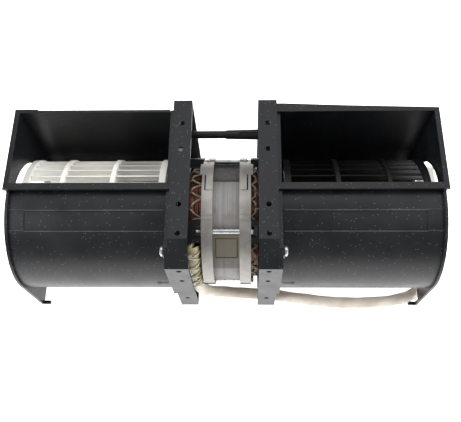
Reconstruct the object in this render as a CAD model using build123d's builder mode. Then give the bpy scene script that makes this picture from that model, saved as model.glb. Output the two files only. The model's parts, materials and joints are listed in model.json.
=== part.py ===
from build123d import *
import os
from math import acos, cos, degrees, pi, radians, sin, sqrt, tan

# Twin-outlet motor blower lying on its back, both outlets facing up.
# Frame: +X along the shaft, +Z up, origin on the resting plane under the middle of the case.
# Outlines are drawn in side planes: first coordinate back from the front face, second up.
# Angles about the shaft run from the top towards the back, in degrees.

os.makedirs("parts", exist_ok=True)

# ---------- driving dimensions, mm ----------
depth = 134.5            # front face to back face of the motor plates
plate_height = 118.9
shaft_in = 57.0          # shaft axis, back from the front face
shaft_z = 56.0           # shaft axis, up from the resting plane
shaft_y = shaft_in - depth / 2

wall = 2.2               # moulded wall
plate_inner = 25.84      # free edge of a motor plate's flange, from the middle
plate_outer = 40.55      # plate face that carries the scroll housing
chamfer_in = 18.0        # front top corner is cut from here on the top ...
chamfer_z = 103.5        # ... to here on the front
web_opening_r = 42.0     # inner air inlet around the motor

tie_in = 117.0           # tie between the plates, back from the front face
tie_z = 95.0
spigot_r = 3.15
socket_r = 3.7
socket_root_r = 4.6

screw_line_x = 33.2      # rows of mounting holes on the plates
mount_hole_r = 2.0
top_holes_in = (22.35, 45.15, 91.0, 113.7)
front_holes_z = (23.4, 73.4, 97.7)

end_face = 165.1         # outer face of the end walls
end_wall = 2.1
lip_outer = 167.0        # outlet lip, outer end
lip_inner = 163.0
lip_top = 117.0
lip_thick = 2.5
near_lip_in = (58.2, 63.6)
far_wall_in = 127.2      # outer face of the far outlet wall
scroll_r = 55.0          # outer radius of the scroll where it is closest to the wheel
end_rim_r = 57.0         # the end wall stands proud of the scroll
scroll_growth = far_wall_in - shaft_in - scroll_r
flange_t = 2.75          # flange that meets the motor plate
flange_backs = (128.2, 132.5)  # left, right
flange_r = 60.0          # curve under the flange's front
inlet_r = 49.0
rotor_gap_r = 52.5       # opening in the flange that the wheel passes through

wheel_from = 46.0        # wheel ends, from the middle
wheel_to = 157.3
wheel_ring_r = 51.0
blade_tip_r = 50.0
blade_root_r = 42.0
blade_count = 40
blade_t = 0.95
hub_disc_t = 2.2

shaft_r = 3.97
bearing_gap = 0.04
shaft_half = 98.0

stack_from = -11.6       # stator laminations along X
stack_to = 13.85
stack_r = 48.2
bore_r = 25.4
air_gap = 0.5
slot_count = 24

bracket_rim_r = 51.4
bracket_t = 1.0
bracket_left = (-17.6, -9.1)
bracket_right = (20.1, 11.35)
bolt_circle_r = 49.3
bolt_angles = (-31.0, 59.0, 149.0, 239.0)
bolt_r = 1.95
bracket_pads = ((-83, -20), (48, 70), (138, 160), (228, 250))
bracket_ridge = (-21.0, -16.8)  # step across each bracket where its front pad starts
corner_cut = (3.6, 5.4)  # outer corner cut away at the back: along X, and towards the shaft
corner_span = (46, 72)
tongue = (5.4, 22.5)     # lanced tongue on each bracket's rim
arm_angles = bolt_angles[:3]  # moulded arms that grip the motor; the fourth bolt is left free
arm_in_r = 46.2
arm_out_r = 52.0
arm_width = 17.0
leg_r = 45.6             # bracket legs pass outside the coil ...
leg_x = 30.6             # ... and turn in to the bearing cup
cup_from = 27.0
cup_to = 36.0
cup_r = 8.4
coil_in_r = 29.0
coil_out_r = 43.8
coil_lengths = (16.4, 12.2)  # left, right
slot_in_r = 27.0
slot_out_r = 40.5
slot_width = 3.6
stack_flat = 44.7        # flats on the stack, from the shaft
flat_angle = 41.0
bar_count = 22
bar_r = 1.4
cage_ring_t = 3.8

housing_screw_spots = [(14.0, 103.7), (121.5, 10.0)]
ear_t = 1.6
side_lip_back = 128.2
spigot_tip_r = 2.3
sleeve_notch = (13.2, 13.0)
end_notch_in = (2.9, 19.2)
end_notch_z = 11.6
hub_x = 87.3
hub_half = 11.0
hub_r = 9.0
wheel_rings = ((46.0, 51.0), (85.6, 89.0), (125.0, 128.0), (152.6, 157.3))
ring_in_r = 47.4

sleeve_d = 9.6           # lead sleeve
sleeve_ring_r = 45.4     # the sleeve lies outside this radius along the coil
exit_angle = -50.0       # where the sleeve leaves the coil's wrap


# ---------- planes and shared shapes ----------
def side(x):
    """Side plane at x; local axes run back from the front face and up."""
    return Plane(origin=(x, -depth / 2, 0), x_dir=(0, 1, 0), z_dir=(1, 0, 0))


def about_shaft(x):
    """Side plane at x with its origin on the shaft axis."""
    return Plane(origin=(x, shaft_y, shaft_z), x_dir=(0, 1, 0), z_dir=(1, 0, 0))


shaft_plane = Plane(origin=(0, shaft_y, shaft_z), x_dir=(1, 0, 0), z_dir=(0, -1, 0))
shaft_axis = Axis((0, shaft_y, shaft_z), (1, 0, 0))
front_plane = Plane(origin=(0, -depth / 2, 0), x_dir=(1, 0, 0), z_dir=(0, -1, 0))


def polar(r, angle):
    """Point about the shaft in a side plane's local axes."""
    return (r * sin(radians(angle)), r * cos(radians(angle)))


def turned(points):
    """Solid of revolution about the shaft from (x, radius) points."""
    with BuildPart() as piece:
        with BuildSketch(shaft_plane):
            with BuildLine():
                Polyline(*points, close=True)
            make_face()
        revolve(axis=shaft_axis)
    return piece.part


def tube(x_a, x_b, r_in, r_out):
    """Round tube about the shaft."""
    return turned([(x_a, r_in), (x_b, r_in), (x_b, r_out), (x_a, r_out)])


def sector(x_a, x_b, r_in, r_out, start, end):
    """Piece of a tube about the shaft between two angles."""
    low, high = sorted((x_a, x_b))
    reach = 2 * r_out
    middle = polar(2 * reach, (start + end) / 2)
    with BuildPart() as piece:
        with BuildSketch(about_shaft(low)):
            Circle(r_out)
            Circle(r_in, mode=Mode.SUBTRACT)
            with BuildLine():
                Polyline((0, 0), polar(reach, start), middle, polar(reach, end), close=True)
            make_face(mode=Mode.INTERSECT)
        extrude(amount=high - low)
    return piece.part


def radial_block(x_a, x_b, r_in, r_out, width, angle):
    """Box whose middle line leaves the shaft at an angle."""
    low, high = sorted((x_a, x_b))
    across = (0, cos(radians(angle)), -sin(radians(angle)))
    plane = Plane(origin=(low, shaft_y, shaft_z), x_dir=across, z_dir=(1, 0, 0))
    with BuildPart() as piece:
        with BuildSketch(plane):
            with Locations((0, (r_in + r_out) / 2)):
                Rectangle(width, r_out - r_in)
        extrude(amount=high - low)
    return piece.part


def pegs(plane, spots, radius, amount):
    """Round pegs standing on a plane, for bosses, screws and holes."""
    with BuildPart() as piece:
        with BuildSketch(plane):
            with Locations(*spots):
                Circle(radius)
        extrude(amount=amount)
    return piece.part


def slab(plane, spot, size, amount):
    """Rectangular block standing on a plane."""
    with BuildPart() as piece:
        with BuildSketch(plane):
            with Locations(spot):
                Rectangle(*size)
        extrude(amount=amount)
    return piece.part


# ---------- housings and plates, drawn on the +X side ----------
def motor_plate(bracket_face, has_socket):
    """Motor plate: a tray open towards the motor, with four arms that grip the motor."""
    outline = [(0, 0), (depth, 0), (depth, plate_height), (chamfer_in, plate_height), (0, chamfer_z)]
    web = plate_outer - wall
    width = plate_outer - plate_inner
    with BuildPart() as plate:
        with BuildSketch(side(plate_inner)) as shape:
            with BuildLine():
                Polyline(*outline, close=True)
            make_face()
        extrude(amount=width)
        hollow = offset(shape.sketch, amount=-wall, kind=Kind.INTERSECTION, mode=Mode.PRIVATE)
        extrude(hollow, amount=web - plate_inner, dir=(1, 0, 0), mode=Mode.SUBTRACT)
        add(pegs(about_shaft(web - 1), [(0, 0)], web_opening_r, wall + 2), mode=Mode.SUBTRACT)
        for angle in arm_angles:
            add(radial_block(bracket_face, web, arm_in_r, arm_out_r, arm_width, angle))
            add(radial_block(bracket_face - 1, bracket_face + 4.6, arm_in_r - 1, arm_out_r + 1, 8.4, angle),
                mode=Mode.SUBTRACT)
        add(pegs(side(web - 6.0), housing_screw_spots, 4.4, 6.0))
        add(pegs(side(web - 8.0), housing_screw_spots, bolt_r + 0.03, 12.0), mode=Mode.SUBTRACT)
        top_spots = [(screw_line_x, spot - depth / 2) for spot in top_holes_in]
        top_plane = Plane.XY.offset(plate_height)
        add(pegs(top_plane, top_spots, mount_hole_r, -1.5 * wall), mode=Mode.SUBTRACT)
        front_spots = [(screw_line_x, spot) for spot in front_holes_z]
        add(pegs(front_plane, front_spots, mount_hole_r, -1.5 * wall), mode=Mode.SUBTRACT)
        tie = [(tie_in, tie_z)]
        if has_socket:
            with BuildSketch(side(web)):
                with Locations(*tie):
                    Circle(socket_root_r)
            with BuildSketch(side(0)):
                with Locations(*tie):
                    Circle(socket_r)
            loft()
            add(slab(side(11.4), (tie_in, tie_z + 4.0), (1.2, 2.0), 14.6))
            add(pegs(side(0), tie, spigot_tip_r + 0.1, 14.0), mode=Mode.SUBTRACT)
            notch = (wall + sleeve_notch[0] / 2, sleeve_notch[1] / 2)
            add(slab(side(plate_inner), notch, sleeve_notch, width), mode=Mode.SUBTRACT)
        else:
            add(pegs(side(0), tie, spigot_r, web))
            add(pegs(side(-12.0), tie, spigot_tip_r, 12.0))
    return plate.part


def scroll_face(r, near, top):
    """Scroll outline: half circle in front, a wider quarter at the back, open upwards."""
    back_in = shaft_in + scroll_growth
    near_z = shaft_z + sqrt(r ** 2 - (near - shaft_in) ** 2)
    crown = (shaft_in, shaft_z + r)
    base = (shaft_in, shaft_z - r)
    back = (back_in + r, shaft_z)
    shoulder = (back_in + r * sin(radians(45)), shaft_z - r * sin(radians(45)))
    with BuildSketch() as face:
        with BuildLine():
            ThreePointArc(crown, (shaft_in - r, shaft_z), base)
            Line(base, (back_in, shaft_z - r))
            ThreePointArc((back_in, shaft_z - r), shoulder, back)
            Polyline(back, (back[0], top), (near, top), (near, near_z), crown)
        make_face()
    return face.sketch


def scroll_housing(far_lip, flange_back, has_notch):
    """Scroll housing: flange, wrap, end wall with the air inlet, and the outlet's lip."""
    flange_face = plate_outer + flange_t
    wall_face = end_face - end_wall
    lip_base = lip_top - lip_thick
    slope = chamfer_in / (plate_height - chamfer_z)
    flange_shoulder = chamfer_in - (plate_height - lip_base) * slope
    first = 180 + degrees(acos(shaft_in / flange_r))
    last = 270 - degrees(acos(shaft_z / flange_r))
    with BuildPart() as housing:
        with BuildSketch(side(plate_outer)):
            with BuildLine():
                under = CenterArc((shaft_in, shaft_z), flange_r, first, last - first)
                corners = [(flange_back - 12.0, 0), (flange_back, 12.0), (flange_back, lip_base)]
                Polyline(under @ 1, *corners, (flange_shoulder, lip_base), (0, chamfer_z), under @ 0)
            make_face()
            with Locations((shaft_in, shaft_z)):
                Circle(rotor_gap_r, mode=Mode.SUBTRACT)
        extrude(amount=flange_t)
        with BuildSketch(side(wall_face)):
            rim_45 = end_rim_r * sin(radians(45))
            with BuildLine():
                Line((0, 0), (0, shaft_z))
                rim_middle = (shaft_in - rim_45, shaft_z + rim_45)
                ThreePointArc((0, shaft_z), rim_middle, (shaft_in, shaft_z + end_rim_r))
                Polyline((shaft_in, shaft_z + end_rim_r), (near_lip_in[0], lip_base),
                         (side_lip_back, lip_base), (side_lip_back, 0), (0, 0))
            make_face()
        extrude(amount=end_wall)
        outer_face = scroll_face(scroll_r, near_lip_in[1] - wall, lip_top)
        inner_face = scroll_face(scroll_r - wall, near_lip_in[1], lip_top + 3)
        with BuildSketch(side(flange_face)):
            add(outer_face)
            add(inner_face, mode=Mode.SUBTRACT)
        extrude(amount=wall_face - flange_face)
        near, near_edge, far = (spot - depth / 2 for spot in (*near_lip_in, side_lip_back))
        with BuildSketch(Plane.XY.offset(lip_base)):
            with BuildLine():
                Polyline((plate_outer, near), (lip_outer, near), (lip_outer, far), (lip_inner, far),
                         (lip_inner, near_edge), (plate_outer, near_edge), close=True)
            make_face()
            with BuildLine():
                Polyline(*[(x, spot - depth / 2) for x, spot in far_lip], close=True)
            make_face()
        extrude(amount=lip_thick)
        add(pegs(about_shaft(wall_face - 1), [(0, 0)], inlet_r, end_wall + 2), mode=Mode.SUBTRACT)
        band_end = 151.0
        add(sector(flange_face, band_end, scroll_r - 0.5, scroll_r + 1.0, -30, -13), mode=Mode.SUBTRACT)
        add(sector(flange_face, band_end, scroll_r - 1.0, scroll_r + 0.45, -13.8, -13))
        for spot in housing_screw_spots:
            with BuildSketch(side(flange_face)):
                with Locations(spot):
                    RectangleRounded(9.4, 9.4, 2.0)
            extrude(amount=ear_t)
        add(pegs(side(plate_outer - 1.0), housing_screw_spots, bolt_r + 0.2, 8.0), mode=Mode.SUBTRACT)
        add(slab(side(wall_face - 6.0), (1.4, 1.4), (2.8, 2.8), 7.0))
        if has_notch:
            notch_from, notch_to = end_notch_in
            spot = ((notch_from + notch_to) / 2, end_notch_z / 2)
            size = (notch_to - notch_from, end_notch_z)
            add(slab(side(wall_face - 1.0), spot, size, end_wall + 2), mode=Mode.SUBTRACT)
    return housing.part


# ---------- wheels, drawn on the +X side ----------
def blade_face():
    """Forward-curved blade: its tip leans the way the wheel turns."""
    tip_lead = -5.0
    bow = -0.6
    root_width = degrees(blade_t / blade_root_r)
    tip_width = degrees(blade_t / blade_tip_r)
    middle_r = (blade_root_r + blade_tip_r) / 2
    with BuildSketch() as face:
        with BuildLine():
            lead = ThreePointArc(polar(blade_root_r, 0), polar(middle_r, bow), polar(blade_tip_r, tip_lead))
            trail = ThreePointArc(polar(blade_root_r, root_width), polar(middle_r, bow + root_width),
                                  polar(blade_tip_r, tip_lead + tip_width))
            Line(lead @ 0, trail @ 0)
            Line(lead @ 1, trail @ 1)
        make_face()
    return face.sketch


def wheel_blades():
    """Blades, notched where the rings go round them."""
    blade = blade_face()
    with BuildPart() as blades:
        with BuildSketch(about_shaft(wheel_from)):
            for index in range(blade_count):
                add(blade.rotate(Axis.Z, index * 360 / blade_count))
        extrude(amount=wheel_to - wheel_from)
        for x_from, x_to in wheel_rings:
            add(tube(x_from, x_to, ring_in_r, wheel_ring_r), mode=Mode.SUBTRACT)
    return blades.part


def wheel_ring_set():
    """Rings that hold the blades: one at each end and two between."""
    with BuildPart() as rings:
        for x_from, x_to in wheel_rings:
            add(tube(x_from, x_to, ring_in_r, wheel_ring_r))
    return rings.part


def wheel_hub():
    """Centre disc, seated inside the blades, and its boss on the shaft."""
    half = hub_disc_t / 2
    near, far = hub_x - hub_half, hub_x + hub_half
    disc_r = blade_root_r + 0.4
    return turned([(near, shaft_r), (far, shaft_r), (far, hub_r), (hub_x + 3.5, hub_r),
                   (hub_x + half, 15.0), (hub_x + half, disc_r), (hub_x - half, disc_r),
                   (hub_x - half, 15.0), (hub_x - 3.5, hub_r), (near, hub_r)])


def hub_clip():
    """Spring clip round the outer end of the hub."""
    with BuildPart() as clip:
        add(tube(hub_x + 4.5, hub_x + hub_half - 1.0, hub_r, hub_r + 0.9))
        add(radial_block(hub_x + 4.5, hub_x + hub_half - 1.0, hub_r + 0.4, hub_r + 5.0, 3.6, 0))
        add(radial_block(hub_x + 4, hub_x + hub_half, hub_r - 1, hub_r + 6.0, 1.2, 0), mode=Mode.SUBTRACT)
    return clip.part


# ---------- motor ----------
def end_bracket(outer, edge, ledge, sign):
    """Stamped motor end bracket, from its outer face to its edge on the stack."""
    step = sign * bracket_t
    inner_r = bracket_rim_r - bracket_t
    pad_r = bracket_rim_r + 0.95
    with BuildPart() as bracket:
        add(tube(outer, edge, inner_r, bracket_rim_r))
        add(tube(outer, outer - step, leg_r - bracket_t, bracket_rim_r))
        add(tube(ledge, ledge + step, leg_r + 1.0, inner_r + 0.3))
        for start, end in bracket_pads:
            add(sector(outer, edge, inner_r - 1.0, inner_r + 0.95, start + 1, end - 1), mode=Mode.SUBTRACT)
            add(sector(outer, edge, inner_r + 0.95, pad_r, start, end))
            add(sector(outer, edge, inner_r, pad_r, start, start + 1.2))
            add(sector(outer, edge, inner_r, pad_r, end - 1.2, end))
            add(sector(outer, outer - step, leg_r - bracket_t, pad_r, start, end))
            add(sector(ledge, ledge + step, leg_r + 1.0, pad_r - 0.5, start, end))
        for angle in bolt_angles:
            add(radial_block(outer - step, sign * leg_x, leg_r - bracket_t, leg_r, 9.0, angle))
            add(radial_block(sign * leg_x - step, sign * leg_x, 9.0, leg_r, 9.0, angle))
        add(sector(outer, edge, inner_r + 0.4, pad_r + 0.4, *bracket_ridge))
        cut_to = outer - sign * corner_cut[0]
        low_r = pad_r - corner_cut[1]
        beyond = outer + sign * 1.0
        inside = bracket_t * 1.2
        corner = [(cut_to, pad_r + 1), (beyond, pad_r + 1), (beyond, low_r - 1), (outer, low_r),
                  (cut_to, pad_r)]
        skin = [(cut_to, pad_r), (outer, low_r), (outer, low_r - inside), (outer - step, low_r - inside),
                (cut_to - step, pad_r - inside), (cut_to - step, pad_r)]
        add(ring_part(corner, *corner_span), mode=Mode.SUBTRACT)
        add(ring_part(skin, *corner_span))
        slot = outer - 2.1 * sign
        add(sector(slot, slot - step, inner_r - 1, pad_r + 1, *tongue), mode=Mode.SUBTRACT)
        add(sector(edge, slot - step, bracket_rim_r - 0.2, bracket_rim_r + 0.6, *tongue))
        add(sector(outer, outer + 1.9 * sign, inner_r, bracket_rim_r, tongue[1], tongue[1] + 17.5))
        add(tube(sign * cup_from, sign * cup_to, cup_r, cup_r + 1.2))
        holes = [polar(bolt_circle_r, angle) for angle in bolt_angles]
        first = min(outer, edge) - 8
        add(pegs(about_shaft(first), holes, bolt_r + 0.08, 30.0), mode=Mode.SUBTRACT)
    return bracket.part


def ring_part(points, start, end):
    """Part of a solid of revolution about the shaft, between two angles, from (x, radius) points."""
    turn = radians(end)
    plane = Plane(origin=(0, shaft_y, shaft_z), x_dir=(1, 0, 0), z_dir=(0, -cos(turn), sin(turn)))
    with BuildPart() as piece:
        with BuildSketch(plane):
            with BuildLine():
                Polyline(*points, close=True)
            make_face()
        revolve(axis=shaft_axis, revolution_arc=end - start)
    return piece.part


def bearing():
    """Self-aligning sleeve bearing on the +X side."""
    near, far = cup_from - 1.0, cup_to + 2.0
    seat_from, seat_to = cup_from + 2.0, cup_from + 6.0
    bore = shaft_r + bearing_gap
    return turned([(near, bore), (far, bore), (far, 5.4), (seat_to, cup_r), (seat_from, cup_r), (near, 5.4)])


def mirrored(part):
    """The same piece on the other side of the motor."""
    return part.mirror(Plane.YZ)


# ---------- motor plates ----------
with BuildPart() as right_motor_plate:
    add(motor_plate(bracket_right[0], True))
right_motor_plate.part.label = "right_motor_plate"
export_step(right_motor_plate.part, "parts/right_motor_plate.step")

with BuildPart() as left_motor_plate:
    add(mirrored(motor_plate(-bracket_left[0], False)))
left_motor_plate.part.label = "left_motor_plate"
export_step(left_motor_plate.part, "parts/left_motor_plate.step")

# ---------- scroll housings ----------
right_far_lip = [(plate_outer, 125.0), (lip_outer, 125.0), (lip_outer, 128.2), (90.0, 130.6),
                 (46.0, 132.5), (plate_outer, 132.5)]
left_far_lip = [(149.0, 125.0), (lip_outer, 125.0), (lip_outer, 128.2), (149.0, 128.2)]

with BuildPart() as right_scroll_housing:
    add(scroll_housing(right_far_lip, flange_backs[1], True))
right_scroll_housing.part.label = "right_scroll_housing"
export_step(right_scroll_housing.part, "parts/right_scroll_housing.step")

with BuildPart() as left_scroll_housing:
    add(mirrored(scroll_housing(left_far_lip, flange_backs[0], False)))
left_scroll_housing.part.label = "left_scroll_housing"
export_step(left_scroll_housing.part, "parts/left_scroll_housing.step")

# ---------- wheels ----------
with BuildPart() as right_impeller_blades:
    add(wheel_blades())
right_impeller_blades.part.label = "right_impeller_blades"
export_step(right_impeller_blades.part, "parts/right_impeller_blades.step")

with BuildPart() as left_impeller_blades:
    add(mirrored(wheel_blades()))
left_impeller_blades.part.label = "left_impeller_blades"
export_step(left_impeller_blades.part, "parts/left_impeller_blades.step")

with BuildPart() as right_impeller_rings:
    add(wheel_ring_set())
right_impeller_rings.part.label = "right_impeller_rings"
export_step(right_impeller_rings.part, "parts/right_impeller_rings.step")

with BuildPart() as left_impeller_rings:
    add(mirrored(wheel_ring_set()))
left_impeller_rings.part.label = "left_impeller_rings"
export_step(left_impeller_rings.part, "parts/left_impeller_rings.step")

with BuildPart() as right_impeller_hub:
    add(wheel_hub())
right_impeller_hub.part.label = "right_impeller_hub"
export_step(right_impeller_hub.part, "parts/right_impeller_hub.step")

with BuildPart() as left_impeller_hub:
    add(mirrored(wheel_hub()))
left_impeller_hub.part.label = "left_impeller_hub"
export_step(left_impeller_hub.part, "parts/left_impeller_hub.step")

with BuildPart() as right_hub_clip:
    add(hub_clip())
right_hub_clip.part.label = "right_hub_clip"
export_step(right_hub_clip.part, "parts/right_hub_clip.step")

with BuildPart() as left_hub_clip:
    add(mirrored(hub_clip()))
left_hub_clip.part.label = "left_hub_clip"
export_step(left_hub_clip.part, "parts/left_hub_clip.step")

# ---------- rotor ----------
with BuildPart() as shaft:
    with BuildSketch(about_shaft(-shaft_half)):
        Circle(shaft_r)
    extrude(amount=2 * shaft_half)
    chamfer(shaft.edges().filter_by(GeomType.CIRCLE), length=0.8)
shaft.part.label = "shaft"
export_step(shaft.part, "parts/shaft.step")

rotor_r = bore_r - air_gap
bar_spots = [polar(22.0, index * 360 / bar_count) for index in range(bar_count)]
with BuildPart() as rotor_core:
    add(tube(stack_from, stack_to, shaft_r, rotor_r))
    add(pegs(about_shaft(stack_from - 1), bar_spots, bar_r, 40.0), mode=Mode.SUBTRACT)
rotor_core.part.label = "rotor_core"
export_step(rotor_core.part, "parts/rotor_core.step")

with BuildPart() as rotor_cage:
    add(tube(stack_from - cage_ring_t, stack_from, 13.0, rotor_r - 0.6))
    add(tube(stack_to, stack_to + cage_ring_t, 13.0, rotor_r - 0.6))
    add(pegs(about_shaft(stack_from), bar_spots, bar_r, stack_to - stack_from))
rotor_cage.part.label = "rotor_cage"
export_step(rotor_cage.part, "parts/rotor_cage.step")

washer = tube(cup_from - 2.0, cup_from - 1.1, shaft_r, 7.0)
with BuildPart() as right_thrust_washer:
    add(washer)
right_thrust_washer.part.label = "right_thrust_washer"
export_step(right_thrust_washer.part, "parts/right_thrust_washer.step")

with BuildPart() as left_thrust_washer:
    add(mirrored(washer))
left_thrust_washer.part.label = "left_thrust_washer"
export_step(left_thrust_washer.part, "parts/left_thrust_washer.step")

# ---------- stator ----------
with BuildPart() as stator_core:
    with BuildSketch(about_shaft(stack_from)):
        Circle(stack_r)
        Rectangle(2 * stack_flat, 2 * stack_flat, rotation=-flat_angle, mode=Mode.INTERSECT)
        Circle(bore_r, mode=Mode.SUBTRACT)
        with PolarLocations((slot_in_r + slot_out_r) / 2, slot_count):
            SlotOverall(slot_out_r - slot_in_r, slot_width, mode=Mode.SUBTRACT)
    extrude(amount=stack_to - stack_from)
stator_core.part.label = "stator_core"
export_step(stator_core.part, "parts/stator_core.step")

with BuildPart() as stator_winding:
    for end, sign, length in ((stack_from, -1, coil_lengths[0]), (stack_to, 1, coil_lengths[1])):
        tip = end + sign * length
        bend = tip - sign * 3.0
        add(turned([(end, coil_in_r), (bend, coil_in_r), (tip, coil_in_r + 3), (tip, coil_out_r - 4),
                    (bend, coil_out_r), (end, coil_out_r)]))
    with BuildSketch(about_shaft(stack_from)):
        with PolarLocations((slot_in_r + slot_out_r) / 2, slot_count):
            Rectangle(slot_out_r - slot_in_r - 4.4, slot_width - 0.5)
    extrude(amount=stack_to - stack_from)
stator_winding.part.label = "stator_winding"
export_step(stator_winding.part, "parts/stator_winding.step")

with BuildPart() as right_coil_lacing:
    add(tube(bracket_right[0] + 0.4, stack_to + coil_lengths[1] - 3.2, coil_out_r, coil_out_r + 0.4))
right_coil_lacing.part.label = "right_coil_lacing"
export_step(right_coil_lacing.part, "parts/right_coil_lacing.step")

with BuildPart() as left_coil_lacing:
    add(tube(bracket_left[0] - 0.4, stack_from - coil_lengths[0] + 3.2, coil_out_r, coil_out_r + 0.4))
left_coil_lacing.part.label = "left_coil_lacing"
export_step(left_coil_lacing.part, "parts/left_coil_lacing.step")

with BuildPart() as coil_wrap:
    add(sector(-27.5, bracket_left[0] - 0.4, coil_out_r + 0.4, sleeve_ring_r - 0.7, -92, -43.5))
    add(sector(-32.0, -22.5, coil_out_r + 0.4, sleeve_ring_r + sleeve_d, exit_angle, -43.5))
coil_wrap.part.label = "coil_wrap"
export_step(coil_wrap.part, "parts/coil_wrap.step")

with BuildPart() as right_end_bracket:
    add(end_bracket(*bracket_right, stack_to, 1))
right_end_bracket.part.label = "right_end_bracket"
export_step(right_end_bracket.part, "parts/right_end_bracket.step")

with BuildPart() as left_end_bracket:
    add(end_bracket(*bracket_left, stack_from, -1))
left_end_bracket.part.label = "left_end_bracket"
export_step(left_end_bracket.part, "parts/left_end_bracket.step")

with BuildPart() as right_bearing:
    add(bearing())
right_bearing.part.label = "right_bearing"
export_step(right_bearing.part, "parts/right_bearing.step")

with BuildPart() as left_bearing:
    add(mirrored(bearing()))
left_bearing.part.label = "left_bearing"
export_step(left_bearing.part, "parts/left_bearing.step")

retainer = tube(cup_to, cup_to + 0.8, 6.9, cup_r + 1.2)
with BuildPart() as right_bearing_retainer:
    add(retainer)
right_bearing_retainer.part.label = "right_bearing_retainer"
export_step(right_bearing_retainer.part, "parts/right_bearing_retainer.step")

with BuildPart() as left_bearing_retainer:
    add(mirrored(retainer))
left_bearing_retainer.part.label = "left_bearing_retainer"
export_step(left_bearing_retainer.part, "parts/left_bearing_retainer.step")

felt = tube(cup_to - 1.4, cup_to, 7.5, cup_r)
with BuildPart() as right_oil_felt:
    add(felt)
right_oil_felt.part.label = "right_oil_felt"
export_step(right_oil_felt.part, "parts/right_oil_felt.step")

with BuildPart() as left_oil_felt:
    add(mirrored(felt))
left_oil_felt.part.label = "left_oil_felt"
export_step(left_oil_felt.part, "parts/left_oil_felt.step")

# ---------- fasteners ----------
bolt_spots = [polar(bolt_circle_r, angle) for angle in bolt_angles]
bolt_end = bracket_left[0] - 4.2
with BuildPart() as through_bolts:
    add(pegs(about_shaft(bolt_end), bolt_spots, bolt_r, bracket_right[0] - bolt_end))
    add(pegs(about_shaft(bracket_right[0]), bolt_spots, 3.3, 2.2))
through_bolts.part.label = "through_bolts"
export_step(through_bolts.part, "parts/through_bolts.step")

screw_seat = plate_outer + flange_t + ear_t
housing_screws = pegs(side(screw_seat - 12.0), housing_screw_spots, bolt_r, 12.0)
screw_heads = pegs(side(screw_seat), housing_screw_spots, 4.0, 2.6)
with BuildPart() as right_housing_screws:
    add(housing_screws)
    add(screw_heads)
right_housing_screws.part.label = "right_housing_screws"
export_step(right_housing_screws.part, "parts/right_housing_screws.step")

with BuildPart() as left_housing_screws:
    add(mirrored(housing_screws))
    add(mirrored(screw_heads))
left_housing_screws.part.label = "left_housing_screws"
export_step(left_housing_screws.part, "parts/left_housing_screws.step")

# ---------- lead ----------
# Route of the sleeve: (x, back from the front face, up), round the coil, down to the table,
# under the +X scroll, out through the end wall's notch and back beside it.
sleeve_z = sleeve_d / 2 + 0.4
sleeve_route = [
    (-27.5, 18.5, 88.3), (-27.5, 11.1, 76.4), (-27.2, 7.4, 63.0), (-25.8, 7.3, 49.5), (-22.7, 6.1, 36.4),
    (-15.4, 5.5, 24.6), (-4.4, 7.4, 16.4), (9.5, 8.1, 10.4), (24.0, 8.3, 6.8), (41.0, 7.6, sleeve_z),
    (62.0, 4.6, sleeve_z), (80.0, 2.3, sleeve_z), (98.0, 0.8, sleeve_z), (116.0, 0.7, sleeve_z),
    (134.0, 1.6, sleeve_z), (150.0, 4.2, sleeve_z), (162.0, 9.0, sleeve_z), (172.5, 17.2, sleeve_z),
    (180.5, 28.5, sleeve_z), (184.8, 43.5, sleeve_z), (185.2, 60.0, sleeve_z), (184.5, 77.0, sleeve_z),
    (184.5, 94.0, sleeve_z),
]


def route_radii(points):
    """Largest tangent arc at each corner: 0.45 of the shorter run over the tangent of half the turn."""
    radii = []
    for before, corner, after in zip(points, points[1:], points[2:]):
        run_in, run_out = corner - before, after - corner
        half_turn = radians(run_in.get_angle(run_out)) / 2
        radii.append(0.45 * min(run_in.length, run_out.length) / tan(half_turn))
    return radii


route = [Vector(x, spot - depth / 2, z) for x, spot, z in sleeve_route]
radii = route_radii(route)
print("sleeve radii, mm:", [round(value, 1) for value in radii])
with BuildPart() as lead_sleeve:
    with BuildLine() as sleeve_line:
        FilletPolyline(*route, radius=radii)
    with BuildSketch(Plane(origin=route[0], z_dir=route[1] - route[0])):
        Circle(sleeve_d / 2)
    sweep()
sleeve_length = sum(edge.length for edge in sleeve_line.edges())
sleeve_section = pi * (sleeve_d / 2) ** 2
print("sleeve length, mm:", round(sleeve_length, 1))
print("sleeve volume over section times length:",
      round(lead_sleeve.part.volume / (sleeve_section * sleeve_length), 4))
lead_sleeve.part.label = "lead_sleeve"
export_step(lead_sleeve.part, "parts/lead_sleeve.step")

# The four wires between the sleeve's end and the connector.
lead_end = route[-1]
wire_length = 12.0
wire_plane = Plane(origin=lead_end, x_dir=(1, 0, 0), z_dir=(0, 1, 0))
with BuildPart() as lead_wires:
    with BuildSketch(wire_plane):
        with GridLocations(2.6, 2.6, 2, 2):
            Circle(0.95)
    extrude(amount=wire_length)
lead_wires.part.label = "lead_wires"
export_step(lead_wires.part, "parts/lead_wires.step")

with BuildPart() as lead_connector:
    with BuildSketch(wire_plane.offset(wire_length)):
        with Locations((0, 0.4)):
            RectangleRounded(15.0, 10.6, 1.2)
    extrude(amount=24.0)
    with BuildSketch(wire_plane.offset(wire_length + 24.0)):
        with Locations((0, 0.4)):
            with GridLocations(6.2, 4.6, 2, 2):
                Rectangle(4.4, 3.2)
    extrude(amount=-10.0, mode=Mode.SUBTRACT)
lead_connector.part.label = "lead_connector"
export_step(lead_connector.part, "parts/lead_connector.step")
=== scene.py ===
import json
import math
import random

import bmesh
import bpy
from mathutils import Matrix, Vector


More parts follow.
